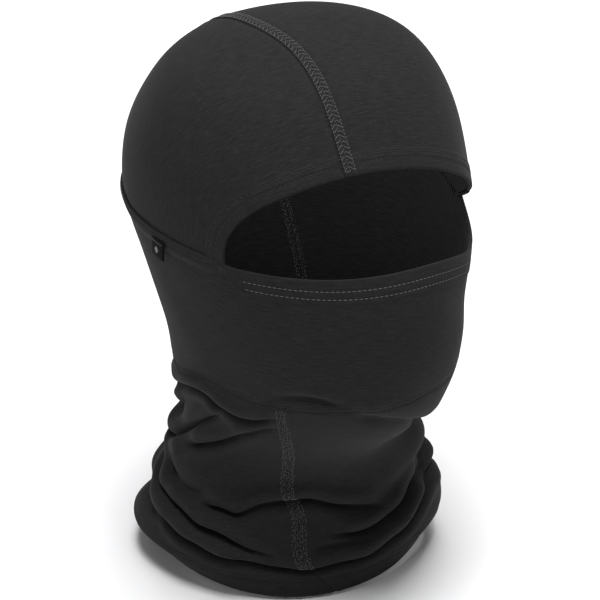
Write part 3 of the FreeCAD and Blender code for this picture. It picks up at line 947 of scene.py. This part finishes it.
# The flat seam over the crown.
crown_row = hood_row(SEAM_LINE[3:-14])
finish_piece(sew("crown_seam.outside", flatlock(crown_row, CROWN_HALF, FLAT_PITCH), radius=FINE_THREAD),
             "garment", "thread", THREAD, "crown_seam_outside")
finish_piece(sew("crown_seam.inside", overlock(crown_row, -INNER_HALF, INNER_HALF, CLOSE_PITCH)),
             "garment", "overlock_thread", OVERLOCK, "crown_seam_inside")

# The seam between hood and face piece, from the left eye corner round the back to the right one.
RING_SPAN = (81, 299)
ring_row = level_row("face", face_top, *RING_SPAN)
finish_piece(sew("ring_seam.outside", [chain(ring_row, -1.7, CLOSE_PITCH)]),
             "garment", "overlock_thread", OVERLOCK, "ring_seam_outside")
inner_ring = level_row("face", lambda turn: face_top(turn) - 1.5, *RING_SPAN)
finish_piece(sew("ring_seam.inside", overlock(inner_ring, -4.6, FELL[1], CLOSE_PITCH)),
             "garment", "overlock_thread", OVERLOCK, "ring_seam_inside")

# The seam between face piece and neck tube.
jaw_start = float(neck_seam_turn(np.array(118.0))) + 1
jaw_row = level_row("neck", jaw_height, jaw_start, jaw_start + 358)
finish_piece(sew("jaw_seam.outside", [chain(jaw_row, w, CLOSE_PITCH) for w in (-1.3, 1.3)], radius=0.13),
             "garment", "overlock_thread", OVERLOCK, "jaw_seam_outside")
finish_piece(sew("jaw_seam.inside", overlock(jaw_row, *FELL, CLOSE_PITCH)),
             "garment", "overlock_thread", OVERLOCK, "jaw_seam_inside")

# The two closing seams.
back_row = upright_row("face", face_seam_turn, jaw_height(160) + 3, ring_height(160) - 3)
finish_piece(sew("face_back_seam.outside", [speckle(back_row, 2.3, 2.3, 1.1, 5)], radius=FINE_THREAD),
             "garment", "thread", THREAD, "face_back_seam_outside")
inner_back = [inside_of(speckle(back_row, 2.3, 2.3, 1.1, 6), PLY + 0.1)]
finish_piece(sew("face_back_seam.inside", inner_back, radius=FINE_THREAD),
             "garment", "thread", THREAD, "face_back_seam_inside")
front_row = upright_row("neck", neck_seam_turn, NECK_HEM + 0.5, jaw_height(-46) - 1.5)
finish_piece(sew("neck_front_seam.outside", [speckle(front_row, 3.4, 2.3, 1.05, 4)], radius=FINE_THREAD),
             "garment", "thread", THREAD, "neck_front_seam_outside")
finish_piece(sew("neck_front_seam.inside", overlock(front_row, -2.3, 2.3, 2.0)),
             "garment", "overlock_thread", OVERLOCK, "neck_front_seam_inside")

# A bar of close stitches at each eye corner.
for side, turn in (("right", -57.5), ("left", 77.5)):
    tack_row = level_row("face", lambda turn: face_top(turn) - 3.2, turn - 1.2, turn + 1.2)
    s = np.linspace(0.2, tack_row.length - 0.2, 6)
    first, normal = tack_row.at(s, -2.6)
    last, _ = tack_row.at(s, 2.6)
    finish_piece(sew("corner_tack_%s.stitches" % side, [(first, last, normal)]),
                 "garment", "overlock_thread", OVERLOCK, "corner_tack_" + side)

# ---------------------------------------------------------------- the label
# A folded tape, its ends sewn under the edge of the face piece. It bows a little across its width.
LABEL_LOW, LABEL_HIGH = mm_box("label")
LABEL_WIDE = LABEL_HIGH[1] - LABEL_LOW[1]
LABEL_MIDDLE = (LABEL_LOW[1] + LABEL_HIGH[1]) / 2
LABEL_TURN = float(turn_of(np.array([LABEL_HIGH[0], LABEL_MIDDLE, LABEL_HIGH[2]])))
LABEL_PLY = 0.3
LABEL_BOW = 0.012
LABEL_BEND = 0.45
LEAF_ROWS = 16
MARK_HALF = 1.9


def bowed(x, y, z):
    """Points of the tape, y being the distance from its middle."""
    return np.stack(np.broadcast_arrays(x + LABEL_BOW * y * y, LABEL_MIDDLE + y, z), -1)


def label_leaves():
    """The tape's front and back leaves, as (x, height) from the seam down."""
    levels = np.linspace(LABEL_HIGH[2], LABEL_LOW[2] + 0.5, LEAF_ROWS)
    lie = dress("face", np.full(LEAF_ROWS, LABEL_TURN), levels)[:, 0].min() - 0.25
    down = np.linspace(0, 1, LEAF_ROWS)
    front = np.stack([lie - 0.75 - 0.35 * np.sin(down * 2.4), levels], -1)
    return front, np.stack([lie - 0.05 + 0 * down, levels], -1)


def label_tape(front, back):
    """The tape: down the front leaf, round the bend, and up the back leaf."""
    middle = (front[-1] + back[-1]) / 2
    half = (front[-1] - back[-1]) / 2
    bend = []
    for angle in (30, 60, 90, 120, 150):
        a = math.radians(angle)
        bend.append(middle + half * math.cos(a) + np.array([0, -LABEL_BEND]) * math.sin(a))
    profile = np.concatenate([front, bend, back[::-1]])
    step = unit(np.gradient(profile, axis=0))
    facing = np.stack([step[:, 1], 0 * step[:, 0], -step[:, 0]], -1)
    facing = facing * np.where(facing[0, 0] < 0, 1, -1)
    across = np.linspace(-LABEL_WIDE / 2, LABEL_WIDE / 2, 14)
    grid = bowed(profile[:, :1], across[None], profile[:, 1:])
    return cloth("label.tape", grid, np.broadcast_to(facing[:, None], grid.shape), thickness=LABEL_PLY)


def label_stitches(front):
    """A row of stitches near the label's sewn end."""
    level = LABEL_HIGH[2] - 1.3
    x = np.interp(-level, -front[:, 1], front[:, 0]) - 0.05
    first = bowed(x, np.linspace(-LABEL_WIDE / 2 + 1, LABEL_WIDE / 2 - 2, 5), level)
    last = first + np.array([0, 1.5, 0])
    outward = np.tile([-1.0, 0, 0], (len(first), 1))
    return threads("label.stitches", first, last, outward, radius=FINE_THREAD)


def label_mark(front):
    """A plain woven lozenge on the label."""
    tips = np.array([[0, 1], [1, 0], [0, -1], [-1, 0]]) * MARK_HALF
    level = LABEL_LOW[2] + (LABEL_HIGH[2] - LABEL_LOW[2]) * 0.45
    x = np.interp(-level, -front[:, 1], front[:, 0])
    corners = bowed(x - 0.06, tips[:, 0], level + tips[:, 1])
    backs = corners.copy()
    backs[:, 0] = x + 0.1
    sides = [[k, (k + 1) % 4, (k + 1) % 4 + 4, k + 4] for k in range(4)]
    mark = make_mesh("label.mark", np.concatenate([corners, backs]), [[3, 2, 1, 0], [4, 5, 6, 7], *sides])
    mark.data.polygons.foreach_set("use_smooth", np.zeros(6, bool))
    return mark


front_leaf, back_leaf = label_leaves()
tape = finish_piece(label_tape(front_leaf, back_leaf), "label_tab", "label_tape", TAPE, "label")
finish_piece(label_stitches(front_leaf), "label_tab", "thread", THREAD, "label_stitching")
finish_piece(label_mark(front_leaf), "label_tab", "thread", MARK)

# ---------------------------------------------------------------- floor, light and camera
FLOOR_HALF = 6
FLOOR_GAP = 0.0012
floor_mesh = bpy.data.meshes.new("floor")
corners = [(x * FLOOR_HALF, y * FLOOR_HALF, 0) for x, y in ((-1, -1), (1, -1), (1, 1), (-1, 1))]
floor_mesh.from_pydata(corners, [], [(0, 1, 2, 3)])
floor = bpy.data.objects.new("floor", floor_mesh)
floor.location.z = min(PACKED[0].z, 0.0) - FLOOR_GAP
floor_mesh.materials.append(plain("floor", (0.86, 0.86, 0.87), 0.8))
bpy.context.scene.collection.objects.link(floor)

bpy.context.scene.view_settings.view_transform = "Standard"
world = bpy.data.worlds.new("studio")
world.use_nodes = True
world.node_tree.nodes["Background"].inputs["Color"].default_value = (1, 1, 1, 1)
world.node_tree.nodes["Background"].inputs["Strength"].default_value = 0.30
bpy.context.scene.world = world

CAMERA_TURN = math.radians(-28)
CAMERA_RISE = math.radians(27)
RIGHT_AXIS = np.array([math.cos(CAMERA_TURN), math.sin(CAMERA_TURN), 0])
TOWARDS = np.array([math.sin(CAMERA_TURN) * math.cos(CAMERA_RISE),
                    -math.cos(CAMERA_TURN) * math.cos(CAMERA_RISE), math.sin(CAMERA_RISE)])
UP_AXIS = np.cross(TOWARDS, RIGHT_AXIS)
aim = np.array([0, 0, 0.140]) - RIGHT_AXIS * 0.00112 - UP_AXIS * 0.00405


def turned_to(thing, place, target):
    """Puts a lamp or camera at a place, looking at a target."""
    back = unit(np.asarray(place) - np.asarray(target))
    side = unit(np.cross([0, 0, 1.0], back))
    up = np.cross(back, side)
    rows = [[side[k], up[k], back[k], place[k]] for k in range(3)]
    thing.matrix_world = Matrix([*rows, [0, 0, 0, 1]])


def lamp(name, place, target, size, power):
    """A soft square lamp."""
    light = bpy.data.lights.new(name, "AREA")
    light.size = size
    light.energy = power
    thing = bpy.data.objects.new(name, light)
    thing.visible_camera = False
    bpy.context.scene.collection.objects.link(thing)
    turned_to(thing, place, target)


lamp("key", (-0.3, -0.55, 2.6), (0, 0, 0.15), size=1.0, power=57)
lamp("top", (0.5, 0.6, 2.4), (0, 0, 0.2), size=1.3, power=40)
# A weak lamp under the crown stands for the daylight that comes in through a thin knit.
lamp("through the knit", (-0.030, 0, 0.245), (0.080, 0.030, 0.200), size=0.05, power=0.11)

LENS = 600
SENSOR = 36
FRAME_WIDTH = 0.2927
camera_data = bpy.data.cameras.new("camera")
camera_data.lens = LENS
camera_data.sensor_width = SENSOR
camera_data.clip_end = 50
camera = bpy.data.objects.new("camera", camera_data)
bpy.context.scene.collection.objects.link(camera)
turned_to(camera, aim + TOWARDS * FRAME_WIDTH * LENS / SENSOR, aim)
bpy.context.scene.camera = camera
